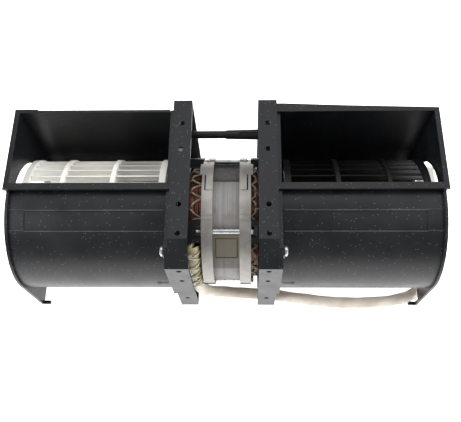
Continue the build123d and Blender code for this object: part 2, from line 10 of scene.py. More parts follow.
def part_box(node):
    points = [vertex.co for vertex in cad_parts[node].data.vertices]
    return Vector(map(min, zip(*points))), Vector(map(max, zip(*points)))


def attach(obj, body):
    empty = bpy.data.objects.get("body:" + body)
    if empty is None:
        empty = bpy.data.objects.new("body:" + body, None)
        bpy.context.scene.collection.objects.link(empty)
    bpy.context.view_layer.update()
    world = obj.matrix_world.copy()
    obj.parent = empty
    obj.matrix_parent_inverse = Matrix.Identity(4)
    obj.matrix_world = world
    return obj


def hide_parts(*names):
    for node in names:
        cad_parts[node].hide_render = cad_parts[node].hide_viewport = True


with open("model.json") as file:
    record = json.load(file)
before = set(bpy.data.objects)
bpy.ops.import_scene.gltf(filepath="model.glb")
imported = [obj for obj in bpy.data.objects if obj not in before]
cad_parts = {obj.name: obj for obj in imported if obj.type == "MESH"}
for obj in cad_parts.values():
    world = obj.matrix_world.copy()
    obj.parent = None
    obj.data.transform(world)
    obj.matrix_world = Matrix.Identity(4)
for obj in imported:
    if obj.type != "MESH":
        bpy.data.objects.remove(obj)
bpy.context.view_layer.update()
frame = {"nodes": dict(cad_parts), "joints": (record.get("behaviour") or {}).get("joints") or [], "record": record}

# Looks of the twin-outlet motor blower, in metres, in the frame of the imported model.
# Angles about the shaft run from the top towards the back, in degrees.

MM = 0.001
FULL_TURN = 2 * math.pi
seed = random.Random(7)
scene = bpy.context.scene
scene.view_settings.view_transform = "Standard"

shaft = Vector(frame["joints"][0]["pos_m"])
slot_of = {part["node"]: part["material_slot"] for part in frame["record"]["subparts"]}


def about_shaft(x, radius, angle):
    """Point at a radius and angle about the shaft."""
    turn = math.radians(angle)
    return Vector((x, shaft.y + radius * math.sin(turn), shaft.z + radius * math.cos(turn)))


# ---------- camera ----------
FOCAL = 48.55
CAMERA_AT = (0.01831, -0.20381, 0.53634)
YAW, PITCH, ROLL = (math.radians(angle) for angle in (-4.29, 67.07, -4.04))


def add_camera():
    """Camera at the photograph's angle: yaw about the vertical, pitch down, roll about its own axis."""
    data = bpy.data.cameras.new("camera")
    data.lens = FOCAL
    data.sensor_width = 36
    forward = Vector((math.sin(YAW) * math.cos(PITCH), math.cos(YAW) * math.cos(PITCH), -math.sin(PITCH)))
    level = Vector((math.cos(YAW), -math.sin(YAW), 0))
    rise = level.cross(forward)
    across = math.cos(ROLL) * level + math.sin(ROLL) * rise
    up = -math.sin(ROLL) * level + math.cos(ROLL) * rise
    camera = bpy.data.objects.new("camera", data)
    scene.collection.objects.link(camera)
    camera.matrix_world = Matrix.Translation(CAMERA_AT) @ Matrix((across, up, -forward)).transposed().to_4x4()
    scene.camera = camera


# ---------- materials ----------
class Look:
    """A Principled material, with short ways to add the nodes that feed it."""

    def __init__(self, name, constants):
        self.material = bpy.data.materials.new(name)
        self.material.use_nodes = True
        self.tree = self.material.node_tree
        self.shader = self.tree.nodes["Principled BSDF"]
        for socket, value in constants.items():
            self.shader.inputs[socket].default_value = value
        self.place = self.add("ShaderNodeTexCoord").outputs["Object"]

    def add(self, kind, inputs=None, **settings):
        """New node, with its inputs fed and its settings made."""
        node = self.tree.nodes.new(kind)
        for key, value in settings.items():
            setattr(node, key, value)
        for key, value in (inputs or {}).items():
            self.feed(node.inputs[key], value)
        return node

    def feed(self, socket, value):
        """Links an output into a socket, or sets the socket to a constant."""
        if isinstance(value, bpy.types.NodeSocket):
            self.tree.links.new(value, socket)
        else:
            socket.default_value = value

    def set(self, socket, value):
        self.feed(self.shader.inputs[socket], value)

    def noise(self, scale, detail=2.0, stretch=None):
        vector = self.place if stretch is None else self.scaled(stretch)
        return self.add("ShaderNodeTexNoise", {"Vector": vector, "Scale": scale, "Detail": detail}).outputs[0]

    def scaled(self, factors):
        return self.add("ShaderNodeMapping", {"Vector": self.place, "Scale": factors}).outputs[0]

    def maths(self, operation, first, second=0.0):
        return self.add("ShaderNodeMath", {0: first, 1: second}, operation=operation).outputs[0]

    def blend(self, first, second, share):
        """Sum of a share of one number and the rest of another."""
        rest = round(1.0 - share, 2)
        return self.maths("ADD", self.maths("MULTIPLY", first, share), self.maths("MULTIPLY", second, rest))

    def between(self, factor, low, high):
        """Number from low to high as the factor goes from 0.3 to 0.7."""
        inputs = {"Value": factor, "From Min": 0.3, "From Max": 0.7, "To Min": low, "To Max": high}
        return self.add("ShaderNodeMapRange", inputs).outputs[0]

    def along(self, letter, none, full):
        """0 to 1 as a coordinate goes from one level to another."""
        inputs = {"Value": self.axis(letter), "From Min": none, "From Max": full}
        return self.add("ShaderNodeMapRange", inputs).outputs[0]

    def ramp(self, factor, *stops):
        """Colour from (position, colour) stops."""
        node = self.add("ShaderNodeValToRGB", {"Fac": factor})
        band = node.color_ramp.elements
        for extra in range(len(stops) - 2):
            band.new(0.5)
        for element, (position, colour) in zip(band, stops):
            element.position = position
            element.color = (*colour, 1)
        return node.outputs[0]

    def mix(self, factor, first, second):
        """Blend of two colours."""
        node = self.add("ShaderNodeMix", data_type="RGBA")
        for socket, value in ((node.inputs[0], factor), (node.inputs[6], first), (node.inputs[7], second)):
            constant = isinstance(value, tuple)
            self.feed(socket, (*value, 1) if constant else value)
        return node.outputs[2]

    def bump(self, height, depth, strength=1.0):
        """Relief of a given depth in metres."""
        node = self.add("ShaderNodeBump", {"Height": height, "Distance": depth, "Strength": strength})
        self.set("Normal", node.outputs[0])

    def grooves(self, coordinate, pitch, sharpness=8.0):
        """1 along the middle of each repeat of a coordinate, falling to 0 in a groove between repeats."""
        across = self.maths("FRACT", self.maths("DIVIDE", coordinate, pitch))
        off_middle = self.maths("ABSOLUTE", self.maths("SUBTRACT", across, 0.5))
        from_middle = self.maths("MULTIPLY", off_middle, 2.0)
        return self.maths("SUBTRACT", 1.0, self.maths("POWER", from_middle, sharpness))

    def axis(self, letter):
        return self.add("ShaderNodeSeparateXYZ", {"Vector": self.place}).outputs[letter]


PALE_DUST = (0.24, 0.24, 0.25)


def moulded_black(name, dark, light, speck):
    """Satin black moulding: fine grain, uneven gloss, and light dust specks."""
    look = Look(name, {"Specular IOR Level": 0.34})
    cloud = look.noise(60.0, 4.0)
    cells = look.add("ShaderNodeTexVoronoi", {"Vector": look.place, "Scale": 560.0})
    in_dot = look.maths("LESS_THAN", cells.outputs["Distance"], 0.11)
    shade = look.add("ShaderNodeSeparateColor", {0: cells.outputs["Color"]}).outputs[0]
    picked = look.maths("GREATER_THAN", shade, 0.55)
    dust = look.maths("MULTIPLY", in_dot, picked)
    look.set("Base Color", look.mix(dust, look.ramp(cloud, (0.3, dark), (0.7, light)), speck))
    scuffs = look.noise(900.0, 3.0)
    look.set("Roughness", look.between(look.blend(cloud, scuffs, 0.6), 0.30, 0.46))
    look.bump(look.noise(2600.0, 3.0), 0.04 * MM)
    return look.material


def black_plastic():
    dark, light = (0.0035, 0.0040, 0.0052), (0.0060, 0.0067, 0.0085)
    return moulded_black("black_plastic", dark, light, PALE_DUST)


def worn_black_plastic():
    # Lighter black: on the scroll ridges this lighter tone is a painted highlight along their tops.
    dark, light = (0.020, 0.020, 0.022), (0.055, 0.055, 0.058)
    return moulded_black("worn_black_plastic", dark, light, PALE_DUST)


def black_wheel_plastic():
    dark, light, speck = (0.004, 0.004, 0.0045), (0.007, 0.007, 0.008), (0.04, 0.04, 0.04)
    return moulded_black("black_wheel_plastic", dark, light, speck)


def see_through(weight, radius):
    """Settings that let light a little way into a material, with its reach in metres per colour."""
    return {"Subsurface Weight": weight, "Subsurface Radius": radius, "Subsurface Scale": 1.0}


def white_wheel_plastic():
    """Off-white moulding, a little see-through, cloudy in tone."""
    look = Look("white_wheel_plastic", see_through(0.15, (0.004, 0.0035, 0.0025)))
    cloud = look.noise(45.0, 5.0)
    look.set("Base Color", look.ramp(cloud, (0.25, (0.68, 0.67, 0.62)), (0.65, (0.80, 0.79, 0.75))))
    look.set("Roughness", look.between(look.noise(400.0), 0.38, 0.55))
    look.bump(look.noise(1500.0, 3.0), 0.04 * MM)
    return look.material


def lamination_steel():
    """Edges of stacked sheets: fine even lines, stained, lacquered brown in front, and painted shade making the
    back dark.
    """
    look = Look("lamination_steel", {"Metallic": 0.35})
    sheet_pitch = 0.5 * MM
    x = look.axis("X")
    sheet = look.maths("FLOOR", look.maths("DIVIDE", x, sheet_pitch))
    tone = look.add("ShaderNodeTexWhiteNoise", {"W": sheet}, noise_dimensions="1D").outputs[0]
    stain = look.noise(70.0, 6.0)
    steel = look.ramp(tone, (0.0, (0.20, 0.195, 0.19)), (1.0, (0.26, 0.255, 0.245)))
    patches = look.ramp(stain, (0.50, (0, 0, 0)), (0.74, (0.6, 0.6, 0.6)))
    stained = look.mix(patches, steel, (0.15, 0.125, 0.10))
    below_bolt = look.along("Y", -35.0 * MM, -37.0 * MM)
    above_front = look.along("Y", -53.0 * MM, -50.0 * MM)
    lacquer = look.maths("MULTIPLY", look.maths("MULTIPLY", below_bolt, above_front), 0.7)
    browned = look.mix(lacquer, stained, (0.21, 0.185, 0.12))
    # Behind Y 3.0 to 4.5 mm the colour turns near-black: painted shade on the back of the stack.
    look.set("Base Color", look.mix(look.along("Y", 3.0 * MM, 4.5 * MM), browned, (0.035, 0.036, 0.034)))
    look.set("Roughness", look.between(look.noise(500.0, 4.0), 0.48, 0.66))
    look.bump(look.grooves(x, sheet_pitch, 6.0), 0.12 * MM)
    return look.material


def bracket_steel():
    """Stamped, zinc-dulled steel: cloudy, with fine brushed scratches."""
    look = Look("bracket_steel", {"Metallic": 0.55})
    cloud = look.noise(110.0, 6.0)
    look.set("Base Color", look.ramp(cloud, (0.3, (0.24, 0.225, 0.21)), (0.7, (0.34, 0.325, 0.305))))
    scratch = look.noise(300.0, 3.0, (9.0, 1.0, 1.0))
    look.set("Roughness", look.between(look.blend(cloud, scratch, 0.5), 0.34, 0.55))
    look.bump(look.noise(1100.0, 4.0), 0.06 * MM)
    return look.material


def plated_steel(name, dark, light, rough_low, rough_high):
    """Plated or plain bright steel with cloudy tone and hairline marks."""
    look = Look(name, {"Metallic": 1.0})
    cloud = look.noise(220.0, 5.0)
    look.set("Base Color", look.ramp(cloud, (0.3, dark), (0.7, light)))
    look.set("Roughness", look.between(look.noise(700.0, 3.0), rough_low, rough_high))
    look.bump(look.noise(2200.0, 3.0), 0.03 * MM)
    return look.material


def zinc_steel():
    return plated_steel("zinc_steel", (0.42, 0.44, 0.46), (0.60, 0.61, 0.62), 0.22, 0.38)


def spring_steel():
    return plated_steel("spring_steel", (0.16, 0.16, 0.165), (0.25, 0.245, 0.24), 0.28, 0.42)


def shaft_steel():
    """Ground steel: fine marks round the shaft."""
    look = Look("shaft_steel", {"Metallic": 1.0})
    marks = look.noise(500.0, 2.0, (12.0, 0.4, 0.4))
    look.set("Base Color", look.ramp(marks, (0.3, (0.48, 0.48, 0.48)), (0.7, (0.62, 0.62, 0.615))))
    look.set("Roughness", look.between(marks, 0.18, 0.32))
    look.bump(marks, 0.01 * MM)
    return look.material


def cast_aluminium():
    """Die-cast skin with soft flow marks."""
    look = Look("cast_aluminium", {"Metallic": 1.0})
    flow = look.noise(160.0, 5.0)
    look.set("Base Color", look.ramp(flow, (0.3, (0.50, 0.50, 0.51)), (0.7, (0.63, 0.63, 0.64))))
    look.set("Roughness", look.between(flow, 0.42, 0.62))
    look.bump(look.noise(900.0, 5.0), 0.1 * MM)
    return look.material


def enamelled_copper():
    """Varnished magnet wire, red-brown, darkened overall and in noise patches as painted shade."""
    look = Look("enamelled_copper", {"Metallic": 0.55, "Coat Weight": 0.7, "Coat Roughness": 0.18})
    # Red-brown copper colour; the dark end of the ramp is painted shade.
    painted_shade_patches = look.noise(160.0, 5.0)
    look.set("Base Color", look.ramp(painted_shade_patches, (0.30, (0.045, 0.012, 0.007)), (0.52, (0.17, 0.036, 0.015)),
                                     (0.72, (0.36, 0.10, 0.04))))
    look.set("Roughness", look.between(look.noise(600.0), 0.25, 0.42))
    look.bump(look.noise(1600.0, 3.0), 0.05 * MM)
    return look.material


def fibrous(name, dark, light, roughness, relief):
    """Cord, felt or fabric: dull fibres with a soft sheen."""
    look = Look(name, {"Roughness": roughness, "Sheen Weight": 0.25, "Sheen Roughness": 0.5})
    fibres = look.noise(1700.0, 6.0)
    soil = look.noise(90.0, 4.0)
    look.set("Base Color", look.ramp(look.blend(fibres, soil, 0.45), (0.32, dark), (0.62, light)))
    look.bump(fibres, relief)
    return look.material


def lacing_cord():
    return fibrous("lacing_cord", (0.34, 0.29, 0.19), (0.62, 0.57, 0.44), 0.85, 0.2 * MM)


def oil_felt():
    return fibrous("oil_felt", (0.10, 0.08, 0.05), (0.24, 0.21, 0.15), 1.0, 0.3 * MM)


def insulation_film():
    """Yellowed polyester film: glossy, crinkled, uneven in colour."""
    look = Look("insulation_film", {"Coat Weight": 0.4, "Coat Roughness": 0.15,
                                    **see_through(0.1, (0.002, 0.002, 0.001))})
    cloud = look.noise(120.0, 5.0)
    look.set("Base Color", look.ramp(cloud, (0.3, (0.13, 0.105, 0.045)), (0.5, (0.23, 0.195, 0.10)),
                                     (0.72, (0.38, 0.335, 0.20))))
    look.set("Roughness", look.between(look.noise(300.0), 0.30, 0.5))
    look.bump(look.noise(420.0, 5.0), 0.5 * MM)
    return look.material


def sleeve_braid():
    """Braided sleeving: two sets of slanting yarns, read from the tube's own surface coordinates."""
    look = Look("sleeve_braid", {"Roughness": 0.8, "Sheen Weight": 0.2, "Sheen Roughness": 0.4,
                                 **see_through(0.6, (0.006, 0.0055, 0.0045))})
    yarns = 22 * FULL_TURN
    around = look.add("ShaderNodeUVMap", uv_map="along_and_around").outputs[0]
    crossing = []
    for lean in (1.0, -1.0):
        run = look.add("ShaderNodeVectorMath", {0: around, 1: (yarns, lean * yarns, 0)},
                       operation="DOT_PRODUCT")
        crossing.append(look.maths("SINE", run.outputs["Value"]))
    weave = look.maths("MAXIMUM", *crossing)
    grime = look.noise(55.0, 4.0)
    # Both ramps run darker where the weave value is low, between the yarns: painted shade in the braid's grooves.
    clean = look.ramp(weave, (0.1, (0.62, 0.57, 0.50)), (0.8, (0.86, 0.81, 0.74)))
    soiled = look.ramp(weave, (0.1, (0.48, 0.41, 0.34)), (0.8, (0.68, 0.60, 0.51)))
    patches = look.ramp(grime, (0.42, (0, 0, 0)), (0.68, (1, 1, 1)))
    look.set("Base Color", look.mix(patches, clean, soiled))
    look.bump(weave, 0.25 * MM, 0.8)
    return look.material


def wire_insulation(name, colour):
    """Soft PVC on one wire, slightly uneven."""
    look = Look(name, {})
    cloud = look.noise(300.0, 3.0)
    darker = tuple(0.7 * value for value in colour)
    look.set("Base Color", look.ramp(cloud, (0.3, darker), (0.7, colour)))
    look.set("Roughness", look.between(cloud, 0.38, 0.52))
    look.bump(look.noise(1500.0), 0.04 * MM)
    return look.material


def connector_nylon():
    """Natural nylon, milky and satin."""
    look = Look("connector_nylon", see_through(0.2, (0.003, 0.003, 0.002)))
    cloud = look.noise(120.0, 3.0)
    look.set("Base Color", look.ramp(cloud, (0.3, (0.50, 0.485, 0.42)), (0.7, (0.58, 0.57, 0.52))))
    look.set("Roughness", look.between(look.noise(500.0), 0.36, 0.5))
    look.bump(look.noise(1800.0, 2.0), 0.04 * MM)
    return look.material


def sintered_bronze():
    """Pressed bronze powder, dark with oil in its pores."""
    look = Look("sintered_bronze", {"Metallic": 0.9})
    pores = look.noise(2400.0, 4.0)
    look.set("Base Color", look.ramp(pores, (0.35, (0.10, 0.06, 0.025)), (0.6, (0.38, 0.25, 0.11))))
    look.set("Roughness", look.between(pores, 0.42, 0.62))
    look.bump(pores, 0.1 * MM)
    return look.material


def washer_fibre():
    """Pressed brown fibre board."""
    look = Look("washer_fibre", {})
    strands = look.noise(900.0, 6.0)
    look.set("Base Color", look.ramp(strands, (0.35, (0.05, 0.018, 0.010)), (0.65, (0.13, 0.055, 0.03))))
    look.set("Roughness", look.between(strands, 0.55, 0.75))
    look.bump(strands, 0.1 * MM)
    return look.material


def floor_paint():
    """Plain pale table top, lit from below like a photographer's light table."""
    look = Look("floor_paint", {"Emission Color": (1, 1, 1, 1), "Emission Strength": 1.1})
    cloud = look.noise(3.0, 3.0)
    look.set("Base Color", look.ramp(cloud, (0.3, (0.86, 0.86, 0.86)), (0.7, (0.89, 0.89, 0.89))))
    look.set("Roughness", look.between(cloud, 0.75, 0.85))
    return look.material


# One maker for each slot that shows, named like the slot.
MAKERS = (black_plastic, worn_black_plastic, black_wheel_plastic, white_wheel_plastic, lamination_steel,
          bracket_steel, zinc_steel, spring_steel, shaft_steel, cast_aluminium, enamelled_copper,
          lacing_cord, oil_felt, insulation_film, sleeve_braid, connector_nylon, sintered_bronze,
          washer_fibre)
WIRE_COLOURS = {"black": (0.012, 0.012, 0.013), "white": (0.50, 0.50, 0.49),
                "red": (0.32, 0.022, 0.018), "blue": (0.02, 0.06, 0.26)}


# ---------- mesh building ----------
class Skin:
    """Vertices and faces gathered from tubes, turned parts and sheets, then made into one piece."""

    def __init__(self):
        self.points = []
        self.faces = []
        self.surface_places = {}

    def rings(self, rings, close_ring=True, close_line=False, caps=False):
        """Joins equal rings of points into a surface."""
        first = len(self.points)
        count = len(rings[0])
        for ring in rings:
            self.points.extend(ring)
        steps = count if close_ring else count - 1
        for row in range(len(rings) if close_line else len(rings) - 1):
            here = first + row * count
            there = first + (row + 1) % len(rings) * count
            for step in range(steps):
                after = (step + 1) % count
                self.faces.append((here + step, here + after, there + after, there + step))
        if caps:
            self.faces.append(tuple(reversed(range(first, first + count))))
            last = first + (len(rings) - 1) * count
            self.faces.append(tuple(range(last, last + count)))

    def tube(self, line, radius, sides, closed=False, flatten=1.0, swell=None):
        """Tube along a line of points. swell(index, side) scales the radius; flatten narrows it upwards."""
        rings = []
        count = len(line)
        across = None
        for index, point in enumerate(line):
            before = line[index - 1] if index or closed else point
            after = line[(index + 1) % count] if index < count - 1 or closed else point
            ahead = (after - before).normalized()
            if across is None:
                across = ahead.orthogonal().normalized()
            across = (across - across.dot(ahead) * ahead).normalized()
            up = ahead.cross(across)
            ring = []
            for side in range(sides):
                turn = FULL_TURN * side / sides
                size = radius * (swell(index, side) if swell else 1.0)
                reach = math.cos(turn) * across + flatten * math.sin(turn) * up
                ring.append(point + size * reach)
            rings.append(ring)
        self.rings(rings, close_line=closed, caps=not closed)

    def turned(self, profile, sides, y, z, closed=False, twist=None):
        """Turned part about a line along X through (y, z), from (x, radius) points."""
        rings = []
        for x, radius in profile:
            ring = []
            for side in range(sides):
                turn = FULL_TURN * side / sides
                size = radius + (twist(x, turn) if twist else 0.0)
                ring.append(Vector((x, y + size * math.sin(turn), z + size * math.cos(turn))))
            rings.append(ring)
        self.rings(rings, close_line=closed, caps=not closed)

    def piece(self, name, slot, replaces=(), smooth_below=40.0, material=None, outwards=False,
              body="housing"):
        """The gathered surface as an object that rides on a body, with its slot's look if none is given."""
        mesh = bpy.data.meshes.new(name)
        mesh.from_pydata([tuple(point) for point in self.points], [], self.faces)
        mesh.validate()
        mesh.materials.append(material or looks[slot])
        mesh.shade_smooth()
        mesh.set_sharp_from_angle(angle=math.radians(smooth_below))
        piece = bpy.data.objects.new(name, mesh)
        scene.collection.objects.link(piece)
        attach(piece, body)
        if replaces:
            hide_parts(*replaces)
        if outwards:
            facing_outwards(piece)
        return piece


def facing_outwards(piece):
    """Turns every face of a closed piece outwards."""
    shape = bmesh.new()
    shape.from_mesh(piece.data)
    bmesh.ops.recalc_face_normals(shape, faces=shape.faces)
    shape.to_mesh(piece.data)
    shape.free()


# ---------- the lead ----------
SLEEVE_D = 9.6 * MM
ROW_Y = -67.25 * MM      # the front face of the motor plates
SLEEVE_Z = 5.2
# The route in part.py: x, back from the front face, up, in millimetres.
SLEEVE_ROUTE = [
    (-27.5, 18.5, 88.3), (-27.5, 11.1, 76.4), (-27.2, 7.4, 63.0), (-25.8, 7.3, 49.5), (-22.7, 6.1, 36.4),
    (-15.4, 5.5, 24.6), (-4.4, 7.4, 16.4), (9.5, 8.1, 10.4), (24.0, 8.3, 6.8), (41.0, 7.6, SLEEVE_Z),
    (62.0, 4.6, SLEEVE_Z), (80.0, 2.3, SLEEVE_Z), (98.0, 0.8, SLEEVE_Z), (116.0, 0.7, SLEEVE_Z),
    (134.0, 1.6, SLEEVE_Z), (150.0, 4.2, SLEEVE_Z), (162.0, 9.0, SLEEVE_Z), (172.5, 17.2, SLEEVE_Z),
    (180.5, 28.5, SLEEVE_Z), (184.8, 43.5, SLEEVE_Z), (185.2, 60.0, SLEEVE_Z), (184.5, 77.0, SLEEVE_Z),
    (184.5, 94.0, SLEEVE_Z),
]
WIRE_D = 1.9 * MM
WIRE_GRID = 2.6 * MM
POCKET_X, POCKET_Z = 6.2 * MM, 4.6 * MM     # spacing of the connector's pockets


def smooth_line(points):
    """Points along the quadratic NURBS line that has the given control points."""
    curve = bpy.data.curves.new("route", "CURVE")
    curve.dimensions = "3D"
    curve.resolution_u = 14
    spline = curve.splines.new("NURBS")
    spline.points.add(len(points) - 1)
    for control, place in zip(spline.points, points):
        control.co = (*place, 1)
    spline.order_u = 3
    spline.use_endpoint_u = True
    holder = bpy.data.objects.new("route", curve)
    scene.collection.objects.link(holder)
    bpy.context.view_layer.update()
    mesh = bpy.data.meshes.new_from_object(holder)
    line = [vertex.co.copy() for vertex in mesh.vertices]
    bpy.data.objects.remove(holder)
    bpy.data.curves.remove(curve)
    bpy.data.meshes.remove(mesh)
    return line


def label_surface(piece, line, sides):
    """Surface coordinates of a tube: x once around, y along in girths."""
    travelled = [0.0]
    for before, after in zip(line, line[1:]):
        travelled.append(travelled[-1] + (after - before).length)
    girth = math.pi * SLEEVE_D
    layer = piece.data.uv_layers.new(name="along_and_around")
    for face in piece.data.polygons:
        columns = [piece.data.loops[index].vertex_index % sides for index in face.loop_indices]
        wraps = max(columns) - min(columns) > 1 and len(columns) == 4
        for index, column in zip(face.loop_indices, columns):
            row = piece.data.loops[index].vertex_index // sides
            turned_on = column + sides if wraps and column == 0 else column
            layer.data[index].uv = (turned_on / sides, travelled[row] / girth)


def add_sleeve():
    """Soft braided sleeve over four wires: not quite round, with shallow wrinkles in its bends."""
    sides = 28
    line = smooth_line([Vector((x * MM, back * MM + ROW_Y, z * MM)) for x, back, z in SLEEVE_ROUTE])
    waves = [(seed.uniform(0.25, 0.9), seed.uniform(0, 6.28), seed.choice((2, 3, 4))) for wave in range(5)]

    def swell(index, side):
        turn = FULL_TURN * side / sides
        rises = (math.sin(rate * index + phase + lobes * turn) for rate, phase, lobes in waves)
        return 1.0 + 0.014 * sum(rises)

    skin = Skin()
    skin.tube(line, SLEEVE_D / 2, sides, swell=swell)
    sleeve = skin.piece("lead_sleeve_braid", "sleeve_braid", ("lead_sleeve",), 60.0)
    label_surface(sleeve, line, sides)
    return sleeve, line


def add_wires(line):
    """Four insulated wires from the sleeve's end to the connector, each bending a little on its way."""
    end = line[-1]
    plug_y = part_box("lead_connector")[0].y
    wires = []
    for index, (name, colour) in enumerate(WIRE_COLOURS.items()):
        column, row = (index % 2 - 0.5) * WIRE_GRID, (index // 2 - 0.5) * WIRE_GRID
        bow = seed.uniform(-0.5, 0.5) * MM
        start = end + Vector((0.8 * column, -4.0 * MM, 0.8 * row))
        middle = end + Vector((1.1 * column + bow, 6.0 * MM, row))
        finish = Vector((end.x + column, plug_y + 0.5 * MM, end.z + row))
        path = [start, start.lerp(middle, 0.5), middle, middle.lerp(finish, 0.5), finish]
        skin = Skin()
        skin.tube(smooth_line(path), WIRE_D / 2, 14)
        look = wire_insulation("wire_" + name, colour)
        wire = skin.piece("lead_wire_" + name, "wire_insulation", ("lead_wires",), material=look)
        wires.append(wire)
    return wires


def add_connector_details():
    """Latch on the connector's top and a tinned contact in each of its pockets."""
    low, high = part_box("lead_connector")
    middle_x = (low.x + high.x) / 2
    width = 2.2 * MM
    skin = Skin()
    profile = [(high.y - 1.0 * MM, 0.0), (high.y - 1.0 * MM, 0.9 * MM), (high.y - 6.0 * MM, 0.5 * MM),
               (low.y + 9.0 * MM, 0.8 * MM), (low.y + 6.0 * MM, 1.3 * MM), (low.y + 4.0 * MM, 1.3 * MM),
               (low.y + 4.0 * MM, 0.0)]
    top = high.z - 1.0 * MM
    rings = [[Vector((middle_x + side * width, y, top + rise)) for y, rise in profile] for side in (-1, 1)]
    skin.rings(rings, caps=True)
    latch = skin.piece("connector_latch", "connector_nylon", outwards=True)
    contacts = Skin()
    for column in (-0.5, 0.5):
        for row in (-0.5, 0.5):
            x, z = middle_x + column * POCKET_X, (low.z + high.z) / 2 + row * POCKET_Z
            path = [Vector((x, high.y - deep * MM, z)) for deep in (9.9, 4.0, 3.2)]
            contacts.tube(path, 0.55 * MM, 10, swell=lambda index, side: 0.5 if index == 2 else 1.0)
    return [latch, contacts.piece("connector_contacts", "zinc_steel", outwards=True)]


# ---------- windings ----------
SLOTS = 24
SLOT_PITCH = 360 / SLOTS
LEAD_TOP = -44.0         # angle at which the film ends and the lead's root begins


def coil_ends():
    """For each side: name, direction along the shaft, the stack's face and the coil head's far end."""
    stack_low, stack_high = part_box("stator_core")
    coil_low, coil_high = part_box("stator_winding")
    return (("left", -1, stack_low.x, coil_low.x), ("right", 1, stack_high.x, coil_high.x))


def coil_radius():
    """Outer radius of the coil heads."""
    low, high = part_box("stator_winding")
    return (high.z - low.z) / 2


def add_coil_head(name, sign, face, tip, outer):
    """Coil head made of single wires that swell between the lacing's turns."""
    inner = outer - 14.8 * MM
    wire = 0.95 * MM
    spacing = 0.92 * wire
    corner = 3.0 * MM
    corner_turns = [math.radians(18 * step) for step in range(1, 6)]
    centre_line = []
    depth = abs(tip - face)
    x = wire
    while x < depth - corner:
        centre_line.append((x, outer - wire / 2))
        x += spacing
    for turn in corner_turns:
        centre_line.append((depth - corner - wire / 2 + corner * math.sin(turn),
                            outer - wire / 2 - corner * (1 - math.cos(turn))))
    radius = outer - wire / 2 - corner
    while radius > inner + corner:
        radius -= spacing
        centre_line.append((depth - wire / 2, radius))
    for turn in corner_turns:
        centre_line.append((depth - wire / 2 - corner * (1 - math.cos(turn)),
                            radius - corner * math.sin(turn)))
    skin = Skin()
    count = 144
    for along, radius in centre_line:
        drift = [(seed.uniform(0.08, 0.22) * MM, seed.randint(3, 9), seed.uniform(0, 6.28))
                 for wave in range(3)]
        loop = []
        for step in range(count):
            angle = 360 * step / count
            turn = math.radians(angle)
            swell = 0.22 * MM * math.cos(math.radians(angle * 360 / SLOT_PITCH))
            sway = sum(size * math.sin(lobes * turn + phase) for size, lobes, phase in drift)
            x = face + sign * min(along + sway, depth - wire / 2)
            loop.append(about_shaft(x, min(radius + swell, outer - wire / 2 + 0.1 * MM), angle))
        skin.tube(loop, wire / 2, 6, closed=True)
    body = [(face, inner + 0.6 * MM), (tip - sign * 4 * MM, inner + 0.6 * MM),
            (tip - sign * 1.2 * MM, inner + 4 * MM), (tip - sign * 1.2 * MM, outer - 4.4 * MM),
            (tip - sign * 3.6 * MM, outer - 1.2 * MM), (face, outer - 1.2 * MM)]
    skin.turned(body, 96, shaft.y, shaft.z, closed=True)
    skin.piece(name + "_coil_head", "enamelled_copper", ("stator_winding",), 60.0)


def add_slot_conductors(faces, outer):
    """The straight runs of wire in the stator's slots."""
    skin = Skin()
    for slot in range(SLOTS):
        angle = 90 + slot * SLOT_PITCH
        for row in range(6):
            for column in (-0.5, 0.5):
                radius = outer - (13.4 - 1.6 * row) * MM
                start = about_shaft(faces[0], radius, angle)
                turn = math.radians(angle)
                aside = Vector((0, math.cos(turn), -math.sin(turn)))
                offset = aside * column * 1.4 * MM
                skin.tube([start + offset, Vector((faces[1], start.y, start.z)) + offset], 0.65 * MM, 6)
    skin.piece("slot_conductors", "enamelled_copper", ("stator_winding",), 60.0)


def add_lacing(name, sign, tip, outer, bracket_edge):
    """Waxed cord stitched in a zigzag once round the coil head."""
    cord = 1.8 * MM
    stitches = 20
    pitch = 360 / stitches
    lift = outer + 0.25 * cord
    base = bracket_edge + sign * 0.2 * MM
    middle = (base + tip) / 2
    path = []
    for stitch in range(stitches):
        angle = stitch * pitch + seed.uniform(-1.8, 1.8)
        lean = seed.uniform(0.42, 0.58) * pitch
        path += [about_shaft(base, lift, angle), about_shaft(middle, lift + 0.1 * MM, angle + 0.45 * lean),
                 about_shaft(tip - sign * 2.6 * MM, lift - 0.4 * MM, angle + 0.8 * lean),
                 about_shaft(tip - sign * 0.3 * MM, outer - 3.0 * MM, angle + lean),
                 about_shaft(tip - sign * 0.2 * MM, outer - 9.0 * MM, angle + 1.05 * lean),
                 about_shaft(tip - sign * 2.4 * MM, lift - 0.3 * MM, angle + 1.25 * lean),
                 about_shaft(middle, lift + 0.1 * MM, angle + 1.6 * lean)]
    skin = Skin()
    skin.tube(smooth_closed(path, 4), cord / 2, 8, closed=True, flatten=0.8)
    skin.piece(name + "_lacing_stitches", "lacing_cord", (name + "_coil_lacing",), 60.0)


def smooth_closed(path, steps):
    """Closed Catmull-Rom line through the points of a path."""
    line = []
    count = len(path)
    for index in range(count):
        a, b, c, d = (path[(index + offset) % count] for offset in (-1, 0, 1, 2))
        for step in range(steps):
            t = step / steps
            line.append(0.5 * (2 * b + (c - a) * t + (2 * a - 5 * b + 4 * c - d) * t * t
                               + (3 * b - a - 3 * c + d) * t ** 3))
    return line


def film_outline(outer, ripple):
    """Section of the film that holds the lead against the coil head, as (x, radius) points."""
    crest = 54.5 * MM
    return [(-18.4 * MM, outer + 2.4 * MM), (-18.9 * MM, outer + 5.2 * MM + ripple),
            (-20.6 * MM, crest - 2.4 * MM - ripple), (-23.2 * MM, crest - 0.6 * MM + ripple),
            (-27.0 * MM, crest), (-30.4 * MM, crest - 0.6 * MM), (-32.2 * MM, crest - 3.4 * MM)]


